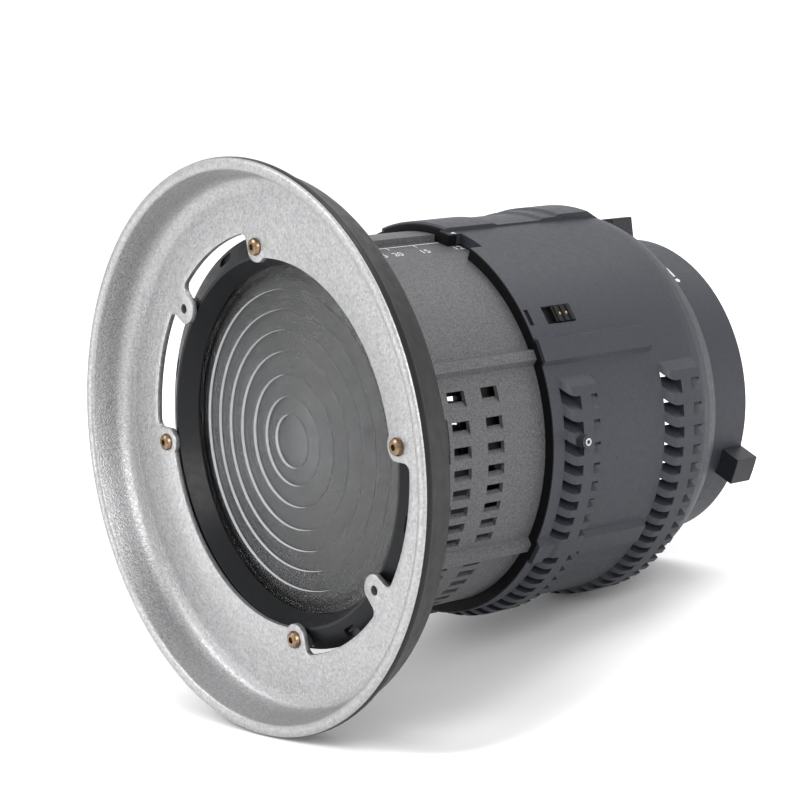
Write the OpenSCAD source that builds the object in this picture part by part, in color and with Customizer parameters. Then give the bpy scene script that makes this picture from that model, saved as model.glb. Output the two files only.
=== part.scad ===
// Zoom fresnel head for a studio flash: a spun dish flange and a stepped lens ride on a
// vented barrel, which slides into a vented housing with a three-lug bayonet at the back.
// The modules are written in a bench frame: +Z points to the front along the optical axis,
// +Y is up and the origin is the centre of the bayonet's seat. in_frame() turns it so that
// the front is -Y and up is +Z. Clock angles are read from the front, 0 at the top.

/* [Dish flange] */
// Outer radius of the dish flange
flange_r = 92; // [90:0.5:94]
// Distance from the bayonet seat to the front rim
rim_z = 155.5; // [155:0.1:156]
// Depth of the dish, from the rim to its flat floor
dish_depth = 13.8; // [13:0.1:14.5]
// Thickness of the spun sheet
sheet = 2; // [1.6:0.1:2.2]
// Radius of the opening in the floor of the dish
opening_r = 59.3; // [59:0.1:59.6]
// Radius reached by the four arc cut-outs
cutout_r = 67.8; // [67:0.1:68.5]
// Radius of the circle that the fixing holes lie on
hole_circle_r = 63; // [62.8:0.1:63.2]
// Radius of the rounded ear around each fixing hole
ear_r = 5.1; // [4.9:0.1:5.2]

/* [Lens] */
// Radius of the glass lens
lens_r = 57.3; // [57:0.1:57.4]
// Height of the crown at the middle of the lens above its back face
lens_crown = 9.3; // [9:0.1:9.5]
// How far each lens ring falls away towards its outer edge
zone_fall = 1.5; // [1:0.1:1.6]

/* [Barrel] */
// Outer radius of the sliding barrel
barrel_r = 60.7; // [60.6:0.05:60.75]
// Wall thickness of the barrel
barrel_wall = 1.6; // [1.5:0.1:1.7]
// Radius over the ribs and the top key of the barrel
rib_top_r = 63; // [62.6:0.1:63]
// Width of a guide rib
rib_w = 4.2; // [3.6:0.1:4.6]
// How far the barrel slides into the housing
zoom_travel = 40; // [30:1:40]

/* [Housing] */
// Outer radius of the housing
body_r = 64.8; // [64.6:0.1:65]
// Radius over the raised vent bands
band_r = 67.3; // [66.8:0.1:67.6]
// Front face of the housing, from the seat
face_z = 81; // [80.8:0.1:81.2]
// Pitch of the vent rows
vent_pitch = 5.36; // [5.3:0.02:5.4]
// Height of one vent window
vent_h = 2.9; // [2.4:0.1:3.1]

/* [Bayonet] */
// Radius of the bayonet spigot
spigot_r = 52.2; // [52:0.1:52.4]
// Length of the spigot behind the seat
spigot_len = 18.3; // [18:0.1:18.5]
// Radius over the three lugs
lug_r = 60; // [59.5:0.1:60.2]
// Width of a lug
lug_w = 9.3; // [9:0.1:10]
// Axial length of a lug
lug_len = 9.1; // [8.8:0.1:9.4]

/* [Hidden] */
$fn = 180;
e = 0.01;                              // a cut's overrun
draw = 135;                            // clock direction that the vents are cut along
rib_clocks = [68.5, 128.5, 188.5, 248.5, 308.5];
key_clock = 1;                         // middle of the top key
key_span = 11;                         // half angle of the top key
fixing_clocks = [-2, 88, 178, 268];
spare_clocks = [133, 313];
hole_r = 1.6;
thread_r = 1.25;
bush_r = 2.2;                          // the threaded bushes and the bosses round them
boss_wall_r = 3.2;

floor_z = rim_z - dish_depth;          // front face of the dish floor
floor_back = floor_z - sheet;
ring_z = floor_back - 4;               // front face of the lens carrier
barrel_front = ring_z - 4.6;
bezel_r = 67.1;                        // the bezel slopes back from its ridge to this radius
pocket_z = barrel_front + 0.9;         // floor of the bezel's pocket in the carrier
barrel_rear = 60;
barrel_bore = barrel_r - barrel_wall;
lens_back = 126.4;
lens_edge = lens_back + 5.9;           // front of the lens's flat edge
groove_rs = [1, 8.7, 14.5, 21.5, 28.9, 35.8, 42.3, 48.8, 54];

guide_z = 60.4;                        // rear end of the housing's guide bore
guide_r = barrel_r + 0.45;
rear_bore = 62.3;
stop_w = 3;                            // thickness of the stop ring's flange
wall_rear = barrel_rear - stop_w - zoom_travel - 1;  // the wall ends, the dome begins
seal_d = 3.4;                          // depth of the seal's groove
seal_w = 3.7;                          // width of the seal across its face
// each band: start of its ramp, top of the ramp, end of the large windows,
// start of the small windows, rear edge of the band, rear end of the small windows
front_band = [76.4, 72.2, 70.4, 66, 62.9, 61];
rear_band = [32.6, 28.4, 26.2, 21.7, 17.5, 15.3];
band_half = 55.4;                      // half width of a band across the draw direction
top_row = 52.1;                        // the first vent row's distance from the draw plane
pad_row = 8;                           // the row that the front band leaves out
vent_rows = 19;
far_rows = 15;                         // the far side's vents stop short of the top rail
rail_clocks = [-13.5, 16];
barrel_cols = [[111.2, 118.1], [97.9, 104.5]];
latch_clock = 57.8;
latch_travel = 3.4;
latch_rear = 60.9;                     // rear end of the catch at rest
latch_base_len = 10.5;
latch_button_len = 8;
plate_len = 17;                        // the plate that the catch slides on
plate_screw_z = 75.8;
boss_clock = 94.3;                     // the friction screw's boss
boss_end = 70.3;                       // radius that the boss reaches
boss_z = 71.6;
boss_r = 2.1;
tip_r = 62.7;                          // radius where the friction screw meets its tip
shield_screw_r = spigot_r - 5.7;
relief = 0.2;                          // how far the lugs' seats lie below the spigot

dark = [0.27, 0.28, 0.31];
grey = [0.38, 0.38, 0.4];
silver = [0.78, 0.78, 0.78];
black = [0.05, 0.05, 0.06];
brass = [0.7, 0.55, 0.3];
steel = [0.6, 0.6, 0.62];

// ---------- helpers ----------

module in_frame() rotate([90, 0, 0]) children();

module at_clock(t) rotate([0, 0, 90 - t]) children();

// a child drawn along +X points along the vents' draw direction
module along_draw() at_clock(draw) children();

module tube(outer, inner, z0, z1) {
    translate([0, 0, z0])
        difference() {
            cylinder(r = outer, h = z1 - z0);
            translate([0, 0, -1])
                cylinder(r = inner, h = z1 - z0 + 2);
        }
}

// flat sector between two clock angles, reaching past radius r
module sector(t0, t1, r) {
    steps = 6;
    far = r * 1.2;
    polygon(concat([[0, 0]], [for (i = [0:steps])
        let (t = 90 - t0 - (t1 - t0) * i / steps) [far * cos(t), far * sin(t)]]));
}

module ring_sector(outer, inner, t0, t1) {
    intersection() {
        difference() {
            circle(r = outer);
            circle(r = inner);
        }
        sector(t0, t1, outer);
    }
}

// a solid between two heights from a flat shape
module slab(z0, z1) translate([0, 0, z0]) linear_extrude(height = z1 - z0) children();

// ---------- dish flange ----------

function on_clock(r, t) = [r * sin(t), r * cos(t)];
function along_clock(t) = [cos(t), -sin(t)];

// ring sector with its two outer corners rounded, drawn as one outline
module cutout(t0, t1) {
    corner = 2.5;
    inner = 55;
    steps = 14;
    mid_r = cutout_r - corner;
    a0 = t0 + asin(corner / mid_r);
    a1 = t1 - asin(corner / mid_r);
    polygon(concat([on_clock(inner, t0)],
        [for (a = [0:18:90])
            on_clock(mid_r + corner * sin(a), a0) - corner * cos(a) * along_clock(a0)],
        [for (i = [1:steps - 1])
            on_clock(cutout_r, a0 + (a1 - a0) * i / steps)],
        [for (a = [90:-18:0])
            on_clock(mid_r + corner * sin(a), a1) + corner * cos(a) * along_clock(a1)],
        [on_clock(inner, t1)]));
}

module dish_opening() {
    ear_turn = asin((ear_r - 0.2) / hole_circle_r);
    difference() {
        union() {
            circle(r = opening_r);
            for (t = [88, 268], half = [0, 1])
                cutout(t + 45 * half + ear_turn, t + 45 * (half + 1) - ear_turn);
        }
        for (t = concat(fixing_clocks, spare_clocks))
            at_clock(t)
                translate([hole_circle_r, 0])
                    circle(r = ear_r);
    }
}

module dish_flange() color(silver) in_frame() {
    bead = 1.6;
    wall_foot = flange_r * 0.885;
    difference() {
        rotate_extrude() {
            polygon(concat([[88.1, rim_z - 0.3], [86.9, rim_z - 5], [86.3, floor_z + 4.4],
                [85.4, floor_z + 2.2], [83.8, floor_z + 0.7], [wall_foot, floor_z],
                [56, floor_z], [56, floor_back], [83.6, floor_back],
                [85.6, floor_back + 0.5], [87.1, floor_back + 2], [90.5, rim_z - 4.6],
                [91.2, rim_z - 4.2], [flange_r, rim_z - 3]],
                [for (a = [0:15:90])
                    [flange_r - bead + bead * cos(a), rim_z - bead + bead * sin(a)]]));
        }
        slab(floor_back - 1, floor_z + 1)
            dish_opening();
        for (t = concat(fixing_clocks, spare_clocks))
            at_clock(t)
                translate([hole_circle_r, 0, floor_back - 1])
                    cylinder(r = hole_r, h = sheet + 2, $fn = 48);
    }
}

// button head screw with a hexagon socket, its head's underside at the origin
module button_screw(head_r, head_h, shank_r, shank_len, socket_r) {
    difference() {
        rotate_extrude($fn = 48)
            polygon([[0, -shank_len], [shank_r, -shank_len], [shank_r, 0], [head_r, 0],
                [head_r, head_h * 0.3], [head_r * 0.86, head_h * 0.75],
                [head_r * 0.6, head_h], [0, head_h]]);
        translate([0, 0, head_h * 0.35])
            cylinder(r = socket_r, h = head_h, $fn = 6);
    }
}

module flange_screws() color(brass) in_frame() {
    for (t = fixing_clocks)
        at_clock(t)
            translate([hole_circle_r, 0, floor_z])
                button_screw(2.9, 1.7, thread_r - 0.05, 9, 1.15);
}

// threaded bushes in the carrier's bosses; two of them stay free for an accessory
module flange_inserts() color(brass) in_frame() {
    for (t = concat(fixing_clocks, spare_clocks))
        at_clock(t)
            translate([hole_circle_r, 0, 0])
                tube(bush_r, thread_r, floor_back - 8, floor_back - 0.1, $fn = 48);
}

// ---------- lens and its carrier ----------

module carrier_bosses(r, z0, z1) {
    for (t = concat(fixing_clocks, spare_clocks))
        at_clock(t)
            translate([hole_circle_r, 0, z0])
                cylinder(r = r, h = z1 - z0, $fn = 48);
}

// oval pits in the slope of the bezel, one in the middle of each cut-out of the dish
module bezel_pits() {
    pit_r = 1.5;
    half_len = 2;
    middle = 64.2;
    for (t = [88, 268], half = [0, 1], end = [-1, 1])
        at_clock(t + 22.5 + 45 * half) {
            translate([middle, half_len * end, ring_z - 0.3])
                cylinder(r = pit_r, h = 10, $fn = 32);
            translate([middle - pit_r, -half_len, ring_z - 0.3])
                cube([2 * pit_r, 2 * half_len, 10]);
        }
}

module bezel_places() {
    for (t = [20, 65, 200, 245])
        at_clock(t)
            translate([61, 0, 0])
                children();
}

module carrier_places() {
    for (i = [0:3])
        at_clock(20 + 90 * i)
            children();
}

module lens_carrier() color(dark) in_frame() {
    difference() {
        union() {
            rotate_extrude()
                polygon([[57.5, lens_back - 8], [barrel_bore - 0.05, lens_back - 8],
                    [barrel_bore - 0.05, barrel_front], [63.4, barrel_front], [63.4, ring_z],
                    [58.6, ring_z], [58.6, pocket_z], [57.5, pocket_z],
                    [57.5, lens_back - 0.9], [53, lens_back - 0.9], [53, lens_back - 3.4],
                    [57.5, lens_back - 3.4]]);
            carrier_bosses(boss_wall_r, barrel_front + 0.3, floor_back);
        }
        carrier_bosses(bush_r, floor_back - 8, floor_back + 1);
        bezel_places()
            translate([0, 0, barrel_front + 1])
                cylinder(r = 0.85, h = 10, $fn = 32);
        carrier_places()
            translate([50, 0, lens_back - 6])
                rotate([0, 90, 0])
                    cylinder(r = 1, h = 20, $fn = 32);
    }
}

module lens_bezel() color(dark) in_frame() {
    difference() {
        rotate_extrude()
            polygon([[56.3, lens_edge + 0.4], [56.6, lens_edge + 0.05],
                [58.3, lens_edge + 0.05], [58.3, ring_z], [63.7, ring_z],
                [63.7, ring_z - 1.2], [bezel_r, ring_z - 1.2], [bezel_r, ring_z - 0.4],
                [60.3, floor_back - 0.5], [59.4, floor_back - 0.6]]);
        carrier_bosses(boss_wall_r + 0.3, lens_edge, floor_back + 1);
        bezel_pits();
        bezel_places()
            translate([0, 0, ring_z - 1])
                cylinder(r = 0.95, h = 10, $fn = 32);
        bezel_places()
            translate([0, 0, ring_z + 1.1])
                cylinder(r = 1.45, h = 10, $fn = 32);
    }
}

module bezel_screws() color(steel) in_frame() {
    bezel_places()
        translate([0, 0, ring_z + 1.1])
            button_screw(1.4, 0.8, 0.75, 4.4, 0.6);
}

// height of ring i above the back face, a share t of the way across it
function ring_height(i, t) = lens_crown - 0.25 * i - zone_fall * pow(t, 1.6);

module fresnel_lens() color([0.75, 0.78, 0.8, 0.5]) in_frame() {
    bits = 4;
    steps = len(groove_rs) - 2;
    translate([0, 0, lens_back])
        rotate_extrude()
            polygon(concat([[0, 0], [0, lens_crown]],
                [for (i = [0:steps], j = [0:bits])
                    let (t = j / bits)
                        [groove_rs[i] + (groove_rs[i + 1] - groove_rs[i]) * t,
                            ring_height(i, t)]],
                [[lens_r, lens_edge - lens_back], [lens_r, 0]]));
}

module lens_gasket() color(black) in_frame()
    tube(lens_r, 54, lens_back - 0.9, lens_back);

// ---------- barrel ----------

// cross-section of the barrel's ribs and key, grown by g all round
module guide_outline(g) {
    for (t = rib_clocks)
        at_clock(t)
            polygon([[50, -rib_w / 2 - g - 0.6], [barrel_r, -rib_w / 2 - g - 0.6],
                [rib_top_r + g, -rib_w / 2 - g + 0.5], [rib_top_r + g, rib_w / 2 + g - 0.5],
                [barrel_r, rib_w / 2 + g + 0.6], [50, rib_w / 2 + g + 0.6]]);
    ring_sector(rib_top_r + g, 50, key_clock - key_span - g, key_clock + key_span + g);
}

// cross-section of the whole barrel, grown by g all round
module barrel_outline(g) {
    circle(r = barrel_r + g);
    guide_outline(g);
}

// one vent window along the draw direction, at a distance y from the draw plane
module vent_window(y, z0, z1) {
    translate([4, y - vent_h / 2, z0])
        cube([80, vent_h, z1 - z0]);
}

module zoom_barrel() color(grey) in_frame() {
    slot_depth = 0.6;
    difference() {
        slab(barrel_rear, barrel_front)
            barrel_outline(0);
        translate([0, 0, barrel_rear - 1])
            cylinder(r = barrel_bore, h = 100);
        for (side = [0, 180], col = barrel_cols, k = [0:vent_rows - 2])
            if (k != pad_row && (side == 0 || k < far_rows))
                rotate([0, 0, side])
                    along_draw()
                        vent_window((9.5 - k) * vent_pitch, col[0], col[1]);
        slab(119.7, 120.5)
            ring_sector(barrel_r + 1, barrel_r - slot_depth, 83, 96);
        carrier_places()
            translate([55, 0, lens_back - 6])
                rotate([0, 90, 0])
                    cylinder(r = 1.1, h = 20, $fn = 32);
        carrier_places()
            translate([barrel_r - 0.9, 0, lens_back - 6])
                rotate([0, 90, 0])
                    cylinder(r = 2.1, h = 20, $fn = 32);
        stop_places()
            translate([50, 0, barrel_rear + 3])
                rotate([0, 90, 0])
                    cylinder(r = 1.1, h = 20, $fn = 32);
        stop_places()
            translate([barrel_r - 0.9, 0, barrel_rear + 3])
                rotate([0, 90, 0])
                    cylinder(r = 2.1, h = 20, $fn = 32);
        pad_places()
            translate([55, 0, barrel_rear + 9])
                rotate([0, 90, 0])
                    cylinder(r = 3, h = 20, $fn = 48);
    }
}

// small countersunk screw that points outward-in along +X, its head flush at x = 0
module flush_screw(len) {
    rotate([0, 90, 0])
        rotate_extrude($fn = 32)
            polygon([[0, 0], [1.9, 0], [1.9, -0.6], [0.9, -0.8], [0.9, -len], [0, -len]]);
}

module carrier_screws() color(steel) in_frame() {
    carrier_places()
        translate([barrel_r - 0.15, 0, lens_back - 6])
            flush_screw(3.6);
}

module stop_places() {
    for (t = [40, 100, 160, 220, 280, 340])
        at_clock(t)
            children();
}

module pad_places() {
    for (t = [38, 98, 158, 218, 278, 338])
        at_clock(t)
            children();
}

// the ring that stops the barrel at the end of the housing's guide bore
module stop_ring() color(black) in_frame() {
    difference() {
        union() {
            tube(61.9, 54.6, barrel_rear - stop_w, barrel_rear);
            tube(barrel_bore - 0.05, 54.6, barrel_rear - e, barrel_rear + 6);
        }
        stop_places()
            translate([50, 0, barrel_rear + 3])
                rotate([0, 90, 0])
                    cylinder(r = 1, h = 20, $fn = 32);
    }
}

module stop_ring_screws() color(steel) in_frame() {
    stop_places()
        translate([barrel_r - 0.15, 0, barrel_rear + 3])
            flush_screw(5);
}

// nylon buttons that carry the barrel in the guide bore
module glide_pads() color([0.85, 0.85, 0.82]) in_frame() {
    difference() {
        pad_places()
            translate([barrel_bore, 0, barrel_rear + 9])
                rotate([0, 90, 0])
                    cylinder(r = 2.95, h = 10, $fn = 48);
        tube(80, guide_r - 0.06, 0, 100);
    }
}

// ---------- housing ----------

// outline of the rubber ring: thinner where it passes over the ribs and the key
module seal_outline() {
    circle(r = barrel_r + seal_w);
    guide_outline(2.1);
}

// the rubber ring in the front face, wiping the barrel
module barrel_seal() color(black) in_frame() {
    slab(face_z - seal_d, face_z)
        difference() {
            seal_outline();
            barrel_outline(0.06);
            sector(18.5, 28.4, 80);
        }
}

// the housing's bulges over the guide ribs
module rib_bulges() {
    for (t = rib_clocks)
        at_clock(t)
            polygon([[50, -6.4], [64, -5.2], [66.6, -3.6], [66.6, 3.6], [64, 5.2], [50, 6.4]]);
}

// raised band: a rounded ramp at its front, a flat top and a square rear edge
module band(b) {
    foot = body_r - 0.1;
    difference() {
        intersection() {
            rotate_extrude()
                polygon(concat([[50, b[0]]],
                    [for (t = [0:0.2:1])
                        [band_r - (band_r - foot) * (1 - t) * (1 - t), b[0] + (b[1] - b[0]) * t]],
                    [[band_r, b[4]], [50, b[4]]]));
            along_draw()
                translate([-80, -band_half, b[4] - 1])
                    cube([160, 2 * band_half, 40]);
        }
        slab(0, 100)
            sector(rail_clocks[0] - 2, rail_clocks[1] + 1, 80);
    }
}

module band_windows(b, skip) {
    for (side = [0, 180], k = [0:vent_rows - 1])
        if (k != skip && (side == 0 || k <= far_rows))
            rotate([0, 0, side])
                along_draw() {
                    vent_window(top_row - k * vent_pitch, b[2], b[0]);
                    vent_window(top_row - k * vent_pitch, b[5], b[3]);
                }
}

// raised rail over the barrel's top key
module top_rail() {
    rotate_extrude()
        polygon([[60, 12.8], [body_r - 0.8, 12.8], [66.9, 18], [66.9, 31], [66.1, 32.5],
            [66.1, 38], [65.4, 39.5], [65.4, 58], [66.1, 60], [66.1, 79.8], [65.6, 80.6],
            [60, 80.6]]);
}

module housing_shell() color(dark) in_frame() {
    difference() {
        union() {
            slab(34.5, face_z)
                rib_bulges();
            rotate_extrude()
                polygon([[0, 0], [55.4, 0], [57.4, 1.7], [59.4, 4], [61.3, 6.6], [63, 10],
                    [64.1, 13.4], [64.6, 16.4], [body_r, 20], [body_r, face_z], [0, face_z]]);
            intersection() {
                top_rail();
                slab(0, 100)
                    sector(rail_clocks[0], rail_clocks[1], 70);
            }
            band(front_band);
            band(rear_band);
        }
        rotate_extrude()
            polygon([[0, -1], [spigot_r - 2.6, -1], [spigot_r - 2.6, 3.2], [53.4, 3.2],
                [56.6, 5.2], [58.6, 7.8], [60.4, 11], [61.6, 14], [rear_bore, wall_rear],
                [rear_bore, guide_z], [guide_r, guide_z], [guide_r, 90], [0, 90]]);
        slab(wall_rear + 2, 90)
            guide_outline(0.45);
        slab(face_z - seal_d, 90)
            seal_outline();
        slab(face_z - 5, 90)
            ring_sector(80, 50, 18.5, 28.4);
        band_windows(front_band, pad_row);
        band_windows(rear_band, -1);
        latch_cuts();
        friction_bore();
    }
    difference() {
        at_clock(boss_clock)
            translate([0, 0, boss_z])
                rotate([0, 90, 0])
                    cylinder(r = boss_r, h = boss_end, $fn = 48);
        cylinder(r = guide_r + 0.2, h = 100);
        friction_bore();
    }
}

module friction_bore() {
    at_clock(boss_clock)
        translate([50, 0, boss_z])
            rotate([0, 90, 0])
                cylinder(r = 1.3, h = 40, $fn = 48);
}

// grub screw in the boss; its nylon tip presses on the barrel
module friction_screw() color(steel) in_frame() at_clock(boss_clock) {
    translate([tip_r, 0, boss_z])
        rotate([0, 90, 0])
            difference() {
                cylinder(r = 1.25, h = boss_end - tip_r + 0.3, $fn = 48);
                translate([0, 0, boss_end - tip_r - 1.5])
                    cylinder(r = 0.7, h = 4, $fn = 6);
            }
}

module friction_tip() color([0.85, 0.85, 0.82]) in_frame() {
    difference() {
        at_clock(boss_clock)
            translate([58, 0, boss_z])
                rotate([0, 90, 0])
                    cylinder(r = 1.2, h = tip_r - 58, $fn = 48);
        cylinder(r = barrel_r + 0.06, h = 100);
    }
}

module latch_cuts() {
    at_clock(latch_clock) {
        translate([60, -3.2, latch_rear - 0.2])
            cube([12, 6.4, latch_button_len + latch_travel + 0.6]);
        translate([60, -2.9, 78.4])
            cube([12, 5.8, 1.7]);
        translate([60, -5.6, guide_z - 1])
            cube([2.1, 11.2, plate_len + 1.2]);
        translate([60, -4.5, latch_rear - 0.2])
            cube([3.4, 9, latch_base_len + latch_travel + 0.6]);
        translate([60, 0, plate_screw_z])
            rotate([0, 90, 0])
                cylinder(r = 0.8, h = 4.3, $fn = 32);
    }
}

// the small catch in the window: a ribbed button on a flat base
module latch_slider() color(black) in_frame() at_clock(latch_clock) {
    translate([62.2, -4.3, latch_rear])
        cube([1, 8.6, latch_base_len]);
    translate([63.1, -2.9, latch_rear])
        cube([1.9, 5.8, latch_button_len]);
    for (i = [0:2])
        translate([64.9, -2.9, latch_rear + 1 + 2.6 * i])
            cube([0.5, 5.8, 0.9]);
}

module latch_plate() color(steel) in_frame() at_clock(latch_clock) {
    difference() {
        translate([61.25, -5.5, guide_z])
            cube([0.8, 11, plate_len]);
        translate([60, 0, plate_screw_z])
            rotate([0, 90, 0])
                cylinder(r = 0.85, h = 6, $fn = 32);
        translate([60, 0, plate_screw_z])
            rotate([0, 90, 0])
                cylinder(r = 1.35, h = 1.7, $fn = 32);
    }
}

module latch_screw() color(steel) in_frame() at_clock(latch_clock) {
    translate([61.3, 0, plate_screw_z])
        rotate([0, 90, 0])
            rotate_extrude($fn = 32)
                polygon([[0, 0], [1.3, 0], [1.3, 0.35], [0.75, 0.4], [0.75, 2.8], [0, 2.8]]);
}

// ---------- rear ----------

module lug_places() {
    for (i = [0:2])
        at_clock(-3 + 120 * i)
            children();
}

module shield_screw_places() {
    for (i = [0:5])
        at_clock(30 + 60 * i)
            translate([shield_screw_r, 0, 0])
                children();
}

module bayonet_spigot() color(dark) in_frame() {
    inner = spigot_r - 3;
    difference() {
        union() {
            tube(spigot_r, inner, lug_len - spigot_len, 0);
            tube(spigot_r - relief, inner, -spigot_len, lug_len - spigot_len + e);
            tube(spigot_r, spigot_r - 8.5, -3, 0);
        }
        shield_screw_places()
            translate([0, 0, -10])
                cylinder(r = 1.3, h = 20, $fn = 32);
        lug_places()
            translate([inner - 1, 0, -spigot_len + lug_len / 2])
                rotate([0, 90, 0])
                    cylinder(r = 1.6, h = 10, $fn = 32);
        index_shape(spigot_r + 1);
    }
}

module bayonet_lugs() color(dark) in_frame() {
    lug_places()
        difference() {
            intersection() {
                translate([50, -lug_w / 2, -spigot_len])
                    cube([20, lug_w, lug_len]);
                cylinder(r = lug_r, h = 100, center = true);
            }
            cylinder(r = spigot_r - relief, h = 100, center = true);
            translate([50, 0, -spigot_len + lug_len / 2])
                rotate([0, 90, 0])
                    cylinder(r = 1.5, h = 7, $fn = 32);
        }
}

module lug_screws() color(steel) in_frame() {
    lug_places()
        translate([spigot_r - 3.2, 0, -spigot_len + lug_len / 2])
            rotate([0, 90, 0])
                rotate_extrude($fn = 32)
                    polygon([[0, -1.2], [2.6, -1.2], [2.6, 0], [1.45, 0.1], [1.45, 7],
                        [0, 7]]);
}

module spigot_screws() color(steel) in_frame() {
    shield_screw_places()
        translate([0, 0, -3])
            mirror([0, 0, 1])
                button_screw(2.5, 1.5, 1.25, 8, 1);
}

// ring inside the dome that keeps stray light off the vents
module light_shield() color(steel) in_frame() {
    difference() {
        rotate_extrude()
            polygon([[spigot_r - 8.5, 0], [spigot_r - 2.7, 0], [spigot_r - 2.7, 3.25],
                [53.2, 3.25], [54, 13.5], [53.2, 13.5], [52.3, 4.2], [spigot_r - 8.5, 4.2]]);
        shield_screw_places()
            translate([0, 0, -1])
                cylinder(r = 1.3, h = 10, $fn = 32);
    }
}

// small bar and dot that show the locking direction, out to radius r
module index_shape(r) {
    inlay = 0.4;
    slab(-6.4, -5.6)
        ring_sector(r, spigot_r - inlay, 35, 40.5);
    difference() {
        at_clock(42.5)
            translate([spigot_r - 2, 0, -6])
                rotate([0, 90, 0])
                    cylinder(r = 0.9, h = r - spigot_r + 2.4, $fn = 32);
        cylinder(r = spigot_r - inlay, h = 100, center = true);
    }
}

module index_mark() color([0.9, 0.9, 0.9]) in_frame() {
    intersection() {
        index_shape(spigot_r + 1);
        cylinder(r = spigot_r, h = 100, center = true);
    }
}

dish_flange();
flange_screws();
flange_inserts();
lens_carrier();
lens_bezel();
bezel_screws();
fresnel_lens();
lens_gasket();
zoom_barrel();
carrier_screws();
stop_ring();
stop_ring_screws();
glide_pads();
barrel_seal();
housing_shell();
friction_screw();
friction_tip();
latch_slider();
latch_plate();
latch_screw();
bayonet_spigot();
bayonet_lugs();
lug_screws();
spigot_screws();
light_shield();
index_mark();
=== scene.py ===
"""Looks of the zoom fresnel head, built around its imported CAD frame.

The row frame is in metres: the front is -Y, up is +Z and the origin is the centre of the
bayonet's seat. Clock angles are read from the front, 0 at the top and 90 towards +X.
"""

import math

import bmesh
import bpy
from mathutils import Euler, Matrix, Vector


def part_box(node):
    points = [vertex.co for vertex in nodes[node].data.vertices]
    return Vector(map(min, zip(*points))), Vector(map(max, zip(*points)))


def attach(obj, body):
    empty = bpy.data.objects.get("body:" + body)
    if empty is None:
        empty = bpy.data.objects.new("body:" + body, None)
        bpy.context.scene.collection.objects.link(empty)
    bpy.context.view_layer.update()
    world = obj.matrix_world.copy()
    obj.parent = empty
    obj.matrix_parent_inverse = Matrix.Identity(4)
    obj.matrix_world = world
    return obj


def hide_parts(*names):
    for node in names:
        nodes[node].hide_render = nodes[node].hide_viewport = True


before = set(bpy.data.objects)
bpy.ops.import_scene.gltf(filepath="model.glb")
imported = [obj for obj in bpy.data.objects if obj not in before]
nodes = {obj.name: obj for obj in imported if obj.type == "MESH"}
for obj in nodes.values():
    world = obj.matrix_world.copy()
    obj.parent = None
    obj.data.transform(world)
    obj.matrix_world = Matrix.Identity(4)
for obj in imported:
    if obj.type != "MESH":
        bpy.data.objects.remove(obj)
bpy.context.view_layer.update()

MM = 0.001

# ---------- places read from the frame ----------

dish_low, dish_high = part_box("dish_flange")
lens_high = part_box("fresnel_lens")[1]
shell_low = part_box("housing_shell")[0]

RIM_R = dish_high.x                     # outer radius of the dish
RIM_Y = dish_low.y                      # its front rim
SHEET = 2.0 * MM                        # thickness of the dish's sheet
FLOOR_BACK = dish_high.y                # back of the dish's flat floor
FLOOR_Y = FLOOR_BACK - SHEET            # front of the floor
FACE_Y = shell_low.y                    # front face of the housing
LENS_R = lens_high.x
LENS_BACK = lens_high.y
BARREL_R = 60.7 * MM                    # outside of the barrel between its ribs
BODY_R = 64.8 * MM                      # outside of the housing between its vent bands
BAND_Y = -17.5 * MM                     # where the rear vent band rests on the floor

HOLE_CIRCLE = 63.0 * MM                 # radius of the circle of fixing holes
OPENING_R = 59.3 * MM                   # the dish's round opening
CUTOUT_R = 67.8 * MM                    # outer edge of the cut-outs round it
EAR_R = 5.1 * MM                        # round end of the ear at each fixing hole
HOLE_R = 1.6 * MM
FIXING_CLOCKS = (-2, 88, 178, 268)
SPARE_CLOCKS = (133, 313)
CUTOUT_STARTS = (88, 133, 268, 313)
CUTOUT_SPAN = 45
LATCH_CLOCK = 57.8


def on_clock(radius, clock, y):
    """The point at a radius, a clock angle and a place along the axis."""
    a = math.radians(clock)
    return Vector((radius * math.sin(a), y, radius * math.cos(a)))


# ---------- mesh helpers ----------


def rounded(points, radius, bits=4):
    """The open path with each inner corner rounded off, about as an arc of that radius."""
    path = [Vector(points[0])]
    for before, corner, after in zip(points, points[1:], points[2:]):
        before, corner, after = Vector(before), Vector(corner), Vector(after)
        reach = min(radius, (before - corner).length * 0.45, (after - corner).length * 0.45)
        start = corner + (before - corner).normalized() * reach
        end = corner + (after - corner).normalized() * reach
        for i in range(bits + 1):
            t = i / bits
            path.append(start * (1 - t) ** 2 + corner * 2 * t * (1 - t) + end * t * t)
    path.append(Vector(points[-1]))
    return path


def shade(mesh, sharp=32):
    """Smooth shading, with edges that stay sharp past an angle in degrees."""
    mesh.shade_smooth()
    mesh.set_sharp_from_angle(angle=math.radians(sharp))


def new_object(name, mesh, sharp=32):
    """A smooth shaded object in the scene."""
    piece = bpy.data.objects.new(name, mesh)
    bpy.context.scene.collection.objects.link(piece)
    shade(mesh, sharp)
    return piece


def mesh_from(name, verts, faces):
    """A mesh whose faces all look outwards."""
    mesh = bpy.data.meshes.new(name)
    mesh.from_pydata([tuple(v) for v in verts], [], faces)
    tidy = bmesh.new()
    tidy.from_mesh(mesh)
    bmesh.ops.recalc_face_normals(tidy, faces=tidy.faces)
    tidy.to_mesh(mesh)
    tidy.free()
    return mesh


def grid_faces(columns, rows):
    """Quads of a grid that closes on itself along its columns and along its rows."""
    return [
        (i * rows + j, i * rows + (j + 1) % rows,
         (i + 1) % columns * rows + (j + 1) % rows, (i + 1) % columns * rows + j)
        for i in range(columns)
        for j in range(rows)
    ]


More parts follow.
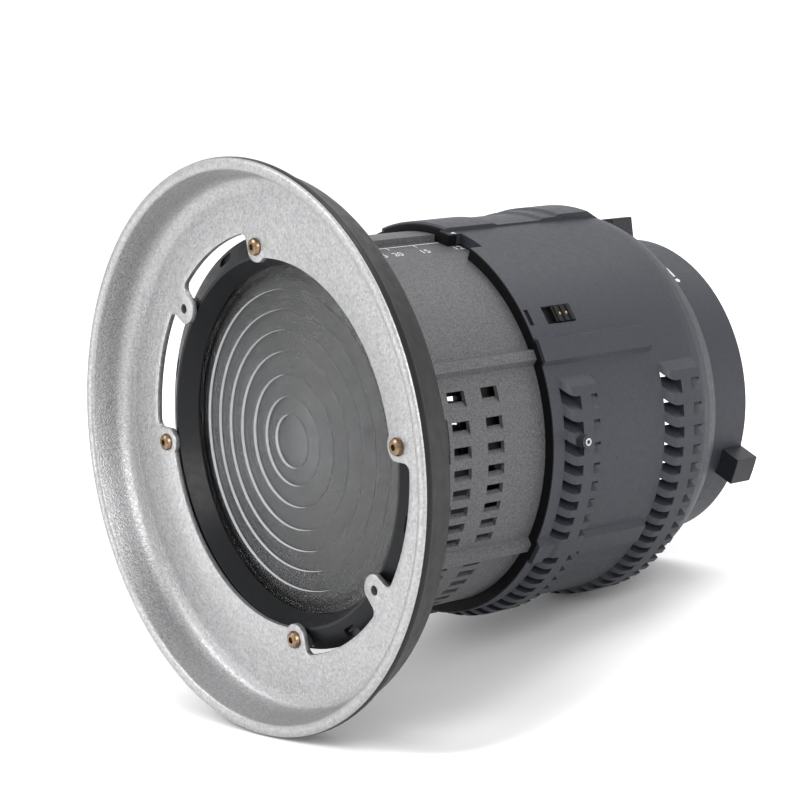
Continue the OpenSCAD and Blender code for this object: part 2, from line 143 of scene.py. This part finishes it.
def cut_away(piece, cutter):
    """Cuts one closed mesh out of another for good, and removes the cutter."""
    cut = piece.modifiers.new("cut", "BOOLEAN")
    cut.operation = "DIFFERENCE"
    cut.solver = "EXACT"
    cut.object = cutter
    shape = piece.evaluated_get(bpy.context.evaluated_depsgraph_get())
    mesh = bpy.data.meshes.new_from_object(shape)
    piece.modifiers.clear()
    piece.data = mesh
    bpy.data.objects.remove(cutter)
    return piece


def pin_cutter(radius, middle, length):
    """A round closed cutter along Y."""
    shape = bmesh.new()
    turn = Matrix.Translation(middle) @ Matrix.Rotation(math.radians(90), 4, "X")
    bmesh.ops.create_cone(shape, cap_ends=True, segments=48, radius1=radius,
                          radius2=radius, depth=length, matrix=turn)
    mesh = bpy.data.meshes.new("cutter")
    shape.to_mesh(mesh)
    shape.free()
    cutter = bpy.data.objects.new("cutter", mesh)
    bpy.context.scene.collection.objects.link(cutter)
    return cutter


def wrap(point, radius, clock, y):
    """A flat point (along, up, out) laid round the barrel: along runs to the rear."""
    along, up, out = point
    return on_clock(radius + out, clock - math.degrees(up / radius), y + along)


def printed(name, outlines, radius, clock, y, body, mat, thick=0.04 * MM):
    """Closed thin ink shapes, each a flat convex outline, laid on a round surface."""
    verts, faces = [], []
    for outline in outlines:
        first, n = len(verts), len(outline)
        for out in (-thick / 2, thick):
            verts += [wrap((a, u, out), radius, clock, y) for a, u in outline]
        faces.append(tuple(range(first, first + n)))
        faces.append(tuple(range(first + 2 * n - 1, first + n - 1, -1)))
        faces += [(first + i, first + (i + 1) % n, first + n + (i + 1) % n, first + n + i)
                  for i in range(n)]
    piece = new_object(name, mesh_from(name, verts, faces))
    piece.data.materials.append(mat)
    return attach(piece, body)


# ---------- materials ----------


class Surface:
    """A principled material with procedural grain, colour mottle and rounded edges."""

    def __init__(self, name, color, roughness, metallic=0.0, specular=0.5):
        self.mat = bpy.data.materials.new(name)
        self.mat.use_nodes = True
        self.tree = self.mat.node_tree
        self.shader = self.tree.nodes["Principled BSDF"]
        self.color, self.roughness = color, roughness
        self.shader.inputs["Base Color"].default_value = (*color, 1)
        self.shader.inputs["Roughness"].default_value = roughness
        self.shader.inputs["Metallic"].default_value = metallic
        self.shader.inputs["Specular IOR Level"].default_value = specular
        self.place = self.node("ShaderNodeTexCoord").outputs["Object"]
        self.normal = None

    def node(self, kind, **settings):
        made = self.tree.nodes.new(kind)
        for key, value in settings.items():
            setattr(made, key, value)
        return made

    def link(self, out, into):
        self.tree.links.new(out, into)

    def noise(self, size, detail=3.0, rough=0.55):
        """Noise whose lumps are about size metres across."""
        made = self.node("ShaderNodeTexNoise")
        made.inputs["Scale"].default_value = 1 / size
        made.inputs["Detail"].default_value = detail
        made.inputs["Roughness"].default_value = rough
        self.link(self.place, made.inputs["Vector"])
        return made.outputs["Fac"]

    def spread(self, value, low, high, start=0.3, end=0.7):
        made = self.node("ShaderNodeMapRange")
        for key, number in (("From Min", start), ("From Max", end),
                            ("To Min", low), ("To Max", high)):
            made.inputs[key].default_value = number
        self.link(value, made.inputs["Value"])
        return made.outputs["Result"]

    def mottle(self, size, amount, detail=4.0):
        """Lighter and darker patches round the base colour."""
        ramp = self.node("ShaderNodeValToRGB")
        ends = ramp.color_ramp.elements
        ends[0].position, ends[1].position = 0.3, 0.7
        ends[0].color = (*[c * (1 - amount) for c in self.color], 1)
        ends[1].color = (*[min(1, c * (1 + amount)) for c in self.color], 1)
        self.link(self.noise(size, detail), ramp.inputs["Fac"])
        self.link(ramp.outputs["Color"], self.shader.inputs["Base Color"])
        return self

    def worn(self, size, amount):
        """Roughness that varies in patches."""
        varied = self.spread(self.noise(size), self.roughness - amount,
                             self.roughness + amount)
        self.link(varied, self.shader.inputs["Roughness"])
        return self

    def soft_edges(self, radius):
        """Edges that catch the light as if rounded by radius metres."""
        made = self.node("ShaderNodeBevel", samples=4)
        made.inputs["Radius"].default_value = radius
        self.normal = made.outputs["Normal"]
        return self

    def grain(self, size, depth, detail=2.0):
        """Fine relief, depth metres deep."""
        made = self.node("ShaderNodeBump")
        made.inputs["Distance"].default_value = depth
        self.link(self.noise(size, detail), made.inputs["Height"])
        if self.normal:
            self.link(self.normal, made.inputs["Normal"])
        self.normal = made.outputs["Normal"]
        return self

    def rings(self, size, depth):
        """Turned rings round the optical axis."""
        split = self.node("ShaderNodeSeparateXYZ")
        self.link(self.place, split.inputs["Vector"])
        flat = self.node("ShaderNodeCombineXYZ")
        self.link(split.outputs["X"], flat.inputs["X"])
        self.link(split.outputs["Z"], flat.inputs["Z"])
        length = self.node("ShaderNodeVectorMath", operation="LENGTH")
        self.link(flat.outputs["Vector"], length.inputs[0])
        made = self.node("ShaderNodeTexNoise", noise_dimensions="1D")
        made.inputs["Scale"].default_value = 1 / size
        self.link(length.outputs["Value"], made.inputs["W"])
        bump = self.node("ShaderNodeBump")
        bump.inputs["Distance"].default_value = depth
        self.link(made.outputs["Fac"], bump.inputs["Height"])
        if self.normal:
            self.link(self.normal, bump.inputs["Normal"])
        self.normal = bump.outputs["Normal"]
        return self

    def done(self):
        if self.normal:
            self.link(self.normal, self.shader.inputs["Normal"])
        return self.mat


def make_materials():
    edge = 0.3 * MM
    glass = Surface("stippled_glass", (0.42, 0.43, 0.44), 0.10)
    glass.shader.inputs["Transmission Weight"].default_value = 1.0
    glass.shader.inputs["IOR"].default_value = 1.5
    return {
        "silver": Surface("pebbled_silver", (0.36, 0.36, 0.365), 0.42, 0.85)
        .mottle(0.9 * MM, 0.20).worn(1.2 * MM, 0.12)
        .rings(3 * MM, 0.03 * MM).grain(0.7 * MM, 0.16 * MM, 3).done(),
        "dish_black": Surface("satin_black", (0.0045, 0.0042, 0.0048), 0.42, specular=0.24)
        .mottle(6 * MM, 0.2).worn(4 * MM, 0.06).grain(0.5 * MM, 0.02 * MM).done(),
        "plastic": Surface("moulded_grey", (0.021, 0.023, 0.030), 0.50, specular=0.42)
        .mottle(0.8 * MM, 0.18).worn(2 * MM, 0.06)
        .soft_edges(edge).grain(0.45 * MM, 0.035 * MM).done(),
        "inner_plastic": Surface("moulded_dark", (0.005, 0.0055, 0.007), 0.40, specular=0.26)
        .mottle(2 * MM, 0.15).worn(3 * MM, 0.05)
        .soft_edges(edge).rings(0.5 * MM, 0.01 * MM).grain(0.5 * MM, 0.015 * MM).done(),
        "barrel": Surface("grainy_grey", (0.066, 0.064, 0.068), 0.54, specular=0.45)
        .mottle(0.5 * MM, 0.62, 6).worn(1.0 * MM, 0.12)
        .soft_edges(edge).grain(0.5 * MM, 0.09 * MM, 4).done(),
        "steel": Surface("turned_steel", (0.42, 0.42, 0.43), 0.30, 1.0)
        .mottle(0.8 * MM, 0.12).worn(0.7 * MM, 0.08)
        .soft_edges(0.12 * MM).grain(0.3 * MM, 0.01 * MM).done(),
        "brass": Surface("bronzed_screw", (0.24, 0.165, 0.105), 0.26, 1.0)
        .mottle(0.7 * MM, 0.22).worn(0.6 * MM, 0.08)
        .soft_edges(0.15 * MM).grain(0.3 * MM, 0.01 * MM).done(),
        "glass": glass.mottle(0.8 * MM, 0.55, 3).grain(0.9 * MM, 0.5 * MM, 3).done(),
        "riser": Surface("frosted_riser", (0.50, 0.51, 0.53), 0.45)
        .mottle(0.5 * MM, 0.25).grain(0.4 * MM, 0.05 * MM).done(),
        "rubber": Surface("wiper_rubber", (0.0020, 0.0020, 0.0026), 0.55, specular=0.14)
        .mottle(2 * MM, 0.25).worn(2 * MM, 0.05)
        .soft_edges(0.6 * MM).grain(0.3 * MM, 0.01 * MM).done(),
        "black": Surface("smooth_black", (0.004, 0.004, 0.0045), 0.35, specular=0.25)
        .mottle(2 * MM, 0.2).worn(2 * MM, 0.05)
        .soft_edges(0.2 * MM).grain(0.4 * MM, 0.01 * MM).done(),
        "nylon": Surface("natural_nylon", (0.55, 0.53, 0.48), 0.45)
        .mottle(1 * MM, 0.06).soft_edges(0.2 * MM).grain(0.5 * MM, 0.01 * MM).done(),
        "lug": Surface("painted_lug", (0.014, 0.0145, 0.018), 0.40, specular=0.35)
        .mottle(1 * MM, 0.18).worn(2 * MM, 0.07)
        .soft_edges(0.35 * MM).grain(0.4 * MM, 0.02 * MM).done(),
        "ink": Surface("white_print", (0.52, 0.53, 0.55), 0.6)
        .mottle(0.3 * MM, 0.10).grain(0.2 * MM, 0.01 * MM).done(),
        "floor": Surface("pale_floor", (0.97, 0.97, 0.97), 0.75, specular=0.2)
        .mottle(0.4, 0.01).done(),
    }


materials = make_materials()

NODE_LOOKS = {
    "flange_screws": "brass", "flange_inserts": "brass", "lens_carrier": "plastic",
    "lens_bezel": "inner_plastic", "bezel_screws": "steel", "lens_gasket": "rubber",
    "zoom_barrel": "barrel", "carrier_screws": "steel", "stop_ring": "black",
    "stop_ring_screws": "steel", "glide_pads": "nylon", "barrel_seal": "rubber",
    "housing_shell": "plastic", "friction_screw": "steel", "friction_tip": "nylon",
    "latch_slider": "black", "latch_plate": "steel", "latch_screw": "steel",
    "bayonet_spigot": "plastic", "bayonet_lugs": "lug", "lug_screws": "steel",
    "spigot_screws": "steel", "light_shield": "black", "index_mark": "ink",
}


def dress_nodes():
    """Gives every carried-over CAD node its material."""
    for name, look in NODE_LOOKS.items():
        node = nodes[name]
        node.data.materials.clear()
        node.data.materials.append(materials[look])


# ---------- the dish flange ----------


def opening_radius(clock):
    """Radius of the edge of the dish's opening at a clock angle."""
    corner, ear_inset = 2.5 * MM, 0.2 * MM
    middle = CUTOUT_R - corner
    ear_turn = math.degrees(math.asin((EAR_R - ear_inset) / HOLE_CIRCLE))
    corner_turn = math.degrees(math.asin(corner / middle))
    off = [abs((clock - c + 180) % 360 - 180) for c in FIXING_CLOCKS + SPARE_CLOCKS]
    turn = math.radians(min(off))
    if min(off) < ear_turn:
        reach = HOLE_CIRCLE * math.sin(turn)
        edge = HOLE_CIRCLE * math.cos(turn) - math.sqrt(max(0, EAR_R**2 - reach**2))
        in_cutout = any((clock - s) % 360 < CUTOUT_SPAN for s in CUTOUT_STARTS)
        return edge if in_cutout else min(edge, OPENING_R)
    for start in CUTOUT_STARTS:
        into = (clock - start) % 360
        if into < CUTOUT_SPAN:
            left = corner_turn - min(into, CUTOUT_SPAN - into) + ear_turn
            if left <= 0:
                return CUTOUT_R
            fall = min(corner, middle * math.sin(math.radians(left)))
            return middle + math.sqrt(corner**2 - fall**2)
    return OPENING_R


def dish():
    """Spun dish: a closed loop of profile rows swept round, its inner edge following
    the opening, with a small rounding on both arrises."""
    columns, arris, shoulder = 1440, 0.35 * MM, 0.1 * MM
    slope_r, lip_r = 82.5 * MM, 91.4 * MM
    edge = [on_clock(opening_radius(i * 360 / columns), i * 360 / columns, 0)
            for i in range(columns)]
    front = rounded([(70, 13.8), (81.4, 13.8), (84.6, 12.9), (86.2, 10.0), (86.9, 5.0),
                     (88.0, 0.5), (90.0, 0.0), (91.6, 0.5), (92, 1.9)], 1.6, 5)
    back = rounded([(92, 1.9), (92, 3.1), (91.3, 4.2), (90.6, 4.5), (87.0, 13.6),
                    (85.4, 15.2), (83.2, 15.8), (70, 15.8)], 0.7, 4)
    verts = []
    for i in range(columns):
        clock = i * 360 / columns
        run = (edge[(i + 1) % columns] - edge[i - 1]).normalized()
        into = Vector((-run.z, 0, run.x))
        for inset, y in ((arris, FLOOR_BACK), (shoulder, FLOOR_BACK - shoulder),
                         (0, FLOOR_BACK - arris), (0, FLOOR_Y + arris),
                         (shoulder, FLOOR_Y + shoulder), (arris, FLOOR_Y)):
            verts.append(edge[i] + into * inset + Vector((0, y, 0)))
        for r, depth in [*front, *back]:
            verts.append(on_clock(r * MM, clock, RIM_Y + depth * MM))
    rows = len(verts) // columns
    piece = new_object("spun_dish", mesh_from("spun_dish", verts, grid_faces(columns, rows)))
    for clock in SPARE_CLOCKS:
        middle = on_clock(HOLE_CIRCLE, clock, (FLOOR_Y + FLOOR_BACK) / 2)
        cut_away(piece, pin_cutter(HOLE_R, middle, 4 * SHEET))
    piece.data.materials.clear()
    piece.data.materials.append(materials["silver"])
    piece.data.materials.append(materials["dish_black"])
    for face in piece.data.polygons:
        r = math.hypot(face.center.x, face.center.z)
        behind = face.center.y > FLOOR_Y + SHEET / 2 and r < slope_r
        outside = r > lip_r and face.normal.y > -0.3
        face.material_index = int(behind or outside or face.normal.y > 0.25)
    shade(piece.data)
    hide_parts("dish_flange")
    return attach(piece, "barrel")


# ---------- the lens ----------


def lens():
    """Pressed lens: convex rings that fall away outwards, each with a riser to the next."""
    groove_rs = (1, 8.7, 14.5, 21.5, 28.9, 35.8, 42.3, 48.8, 54)
    crown, fall, step_down, edge_height = 9.3, 1.5, 0.25, 5.9
    axis_r, bits = 0.02, 6
    path = [(axis_r, crown)]
    for i, (inner, outer) in enumerate(zip(groove_rs, groove_rs[1:])):
        for j in range(bits + 1):
            t = j / bits
            path.append((inner + (outer - inner) * t, crown - step_down * i - fall * t**1.6))
    path += [(LENS_R / MM, edge_height), (LENS_R / MM, 0)]
    path = rounded(path + [(axis_r, 0)], 0.3, 3)
    columns = 256
    verts = [on_clock(r * MM, i * 360 / columns, LENS_BACK - height * MM)
             for i in range(columns) for r, height in path]
    rows = len(path)
    piece = new_object("stepped_lens", mesh_from("stepped_lens", verts,
                                                 grid_faces(columns, rows)), 40)
    piece.data.materials.append(materials["glass"])
    piece.data.materials.append(materials["riser"])
    for face in piece.data.polygons:
        out = Vector((face.center.x, 0, face.center.z))
        is_riser = abs(face.normal.dot(out.normalized())) > 0.75
        face.material_index = int(is_riser and out.length < LENS_R - 2 * MM)
    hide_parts("fresnel_lens")
    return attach(piece, "barrel")


# ---------- printed marks ----------


def strip(a0, a1, u0, u1, bits=1):
    """Flat rectangles side by side, from a0 to a1 along and from u0 to u1 up."""
    step = (a1 - a0) / bits
    return [[(a0 + i * step, u0), (a0 + (i + 1) * step, u0),
             (a0 + (i + 1) * step, u1), (a0 + i * step, u1)] for i in range(bits)]


def number(text, size):
    """The triangles of a number, as flat outlines round its middle."""
    curve = bpy.data.curves.new("number", "FONT")
    curve.body, curve.size, curve.align_x = text, size, "CENTER"
    made = bpy.data.objects.new("number", curve)
    bpy.context.scene.collection.objects.link(made)
    shape = made.evaluated_get(bpy.context.evaluated_depsgraph_get()).to_mesh()
    shape.calc_loop_triangles()
    spots = [v.co.copy() for v in shape.vertices]
    outlines = [[(spots[k].x, spots[k].y) for k in t.vertices]
                for t in shape.loop_triangles]
    bpy.data.objects.remove(made)
    return outlines


def barrel_scale():
    """Beam angle scale on the barrel: a line, a tick and a number at each stop."""
    stops = {"12": -78.2, "15": -92.0, "20": -103.1, "25": -109.5}
    line_clock, number_turn = 14.0, 7.6
    line_half, tick_half, tick_length = 0.22 * MM, 0.15 * MM, 2.6 * MM
    number_size = 4.0 * MM
    start, end = -112 * MM, -77.5 * MM
    printed("scale_line", strip(0, end - start, -line_half, line_half, 8), BARREL_R,
            line_clock, start, "barrel", materials["ink"])
    for text, y in stops.items():
        printed("scale_tick_" + text, strip(-tick_half, tick_half, -tick_length, 0),
                BARREL_R, line_clock, y * MM, "barrel", materials["ink"])
        printed("scale_number_" + text, number(text, number_size), BARREL_R,
                line_clock + number_turn, y * MM, "barrel", materials["ink"])


def housing_pointer():
    """Small triangle on the housing that the scale is read against."""
    half, clock, setback = 0.9 * MM, 17.6, 2.2 * MM
    printed("scale_pointer", [[(-half, 0), (half, -half), (half, half)]], BODY_R, clock,
            FACE_Y + setback, "housing", materials["ink"])


# ---------- catch rivets ----------


def catch_rivets():
    """Two small domed rivets in the catch, between its ribs."""
    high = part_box("latch_slider")[1]
    top_r, dome, reach = 64.9 * MM, 0.45 * MM, 0.62 * MM
    sunk, axis_r, setback = -0.3 * MM, 0.01 * MM, 2.65 * MM
    columns = 24
    for i, y in enumerate((high.y - setback, high.y - 2 * setback)):
        profile = [(reach * math.cos(a), dome * math.sin(a))
                   for a in [math.radians(10 * k) for k in range(9)]]
        profile = [(reach, sunk), *profile, (axis_r, dome), (axis_r, sunk)]
        out = on_clock(1, LATCH_CLOCK, 0)
        across = Vector((out.z, 0, -out.x))
        middle = on_clock(top_r, LATCH_CLOCK, y)
        verts = []
        for k in range(columns):
            a = math.tau * k / columns
            side = across * math.cos(a) + Vector((0, 1, 0)) * math.sin(a)
            verts += [middle + side * r + out * h for r, h in profile]
        piece = new_object(f"catch_rivet_{i + 1}", mesh_from(
            "catch_rivet", verts, grid_faces(columns, len(profile))))
        piece.data.materials.append(materials["brass"])
        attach(piece, "latch")


# ---------- stage, light and camera ----------


def floor_up():
    """Normal of the floor that the rim's bottom and the housing's rear bottom touch."""
    band_r = -shell_low.z
    rise = (RIM_R - band_r) / (BAND_Y - RIM_Y)
    return Vector((0, -rise, 1)).normalized()


def ease(value, start, end):
    """Rises smoothly from 0 at start to 1 at end."""
    t = min(1, max(0, (value - start) / (end - start)))
    return t * t * (3 - 2 * t)


def floor_lines(reach, fine, step):
    """Places of the floor's grid lines: close together near the object, then far apart."""
    near = [i * step for i in range(-round(fine / step), round(fine / step) + 1)]
    return [-reach, *near, reach]


def stage():
    """The floor: a plane with a smooth hollow under the barrel, which keeps the rim
    clear of it when the dish slides in."""
    up = floor_up()
    reach, fine, step = 30.0, 0.24, 0.008
    depth, full_half, edge_half = 9 * MM, 50 * MM, 100 * MM
    fall_start, fall_end = RIM_Y + 3 * MM, -118 * MM
    rise_start, rise_end = -108 * MM, -48 * MM
    touch = Vector((0, RIM_Y + 2 * MM, -RIM_R)) - up * 0.2 * MM
    turn = Vector((0, 0, 1)).rotation_difference(up).to_matrix().to_4x4()
    lines = floor_lines(reach, fine, step)
    verts = []
    for x in lines:
        for y in lines:
            spot = turn @ Vector((x, y, 0)) + touch
            along = ease(spot.y, fall_start, fall_end) * (1 - ease(spot.y, rise_start, rise_end))
            across = 1 - ease(abs(x), full_half, edge_half)
            verts.append(spot - Vector((0, 0, depth * along * across)))
    n = len(lines)
    faces = [(i * n + j, (i + 1) * n + j, (i + 1) * n + j + 1, i * n + j + 1)
             for i in range(n - 1) for j in range(n - 1)]
    ground = new_object("floor", mesh_from("floor", verts, faces))
    ground.data.materials.append(materials["floor"])


def area_light(name, place, aim, size, watts):
    light = bpy.data.lights.new(name, "AREA")
    light.shape, light.size, light.size_y = "RECTANGLE", size[0], size[1]
    light.energy = watts
    lamp = bpy.data.objects.new(name, light)
    bpy.context.scene.collection.objects.link(lamp)
    lamp.location = place
    lamp.rotation_euler = (Vector(aim) - Vector(place)).to_track_quat("-Z", "Y").to_euler()


def lighting():
    world = bpy.data.worlds.new("studio")
    world.use_nodes = True
    sky = world.node_tree.nodes["Background"]
    sky.inputs["Color"].default_value = (1, 1, 1, 1)
    sky.inputs["Strength"].default_value = 1.05
    bpy.context.scene.world = world
    bpy.context.scene.view_settings.view_transform = "Standard"
    middle = (0, -0.08, 0)
    lens_middle = (0, LENS_BACK, 0)
    area_light("key", (-0.55, -1.1, 1.0), middle, (0.7, 0.7), 9)
    area_light("side", (1.25, -0.55, 0.55), middle, (0.5, 0.9), 10)
    area_light("top", (0.25, 0.35, 1.3), middle, (0.9, 0.6), 8)
    area_light("lens_glow", (-0.65, -1.26, 0.0), lens_middle, (0.35, 0.6), 3)


def camera():
    data = bpy.data.cameras.new("camera")
    data.sensor_width, data.lens = 36, 114.88
    data.clip_start, data.clip_end = 0.01, 100
    made = bpy.data.objects.new("camera", data)
    bpy.context.scene.collection.objects.link(made)
    made.location = (0.6604, -0.6062, 0.0934)
    made.rotation_euler = Euler([math.radians(a) for a in (84.157, 4.27, 51.56)], "XYZ")
    bpy.context.scene.camera = made


camera()
lighting()
stage()
dress_nodes()
dish()
lens()
barrel_scale()
housing_pointer()
catch_rivets()
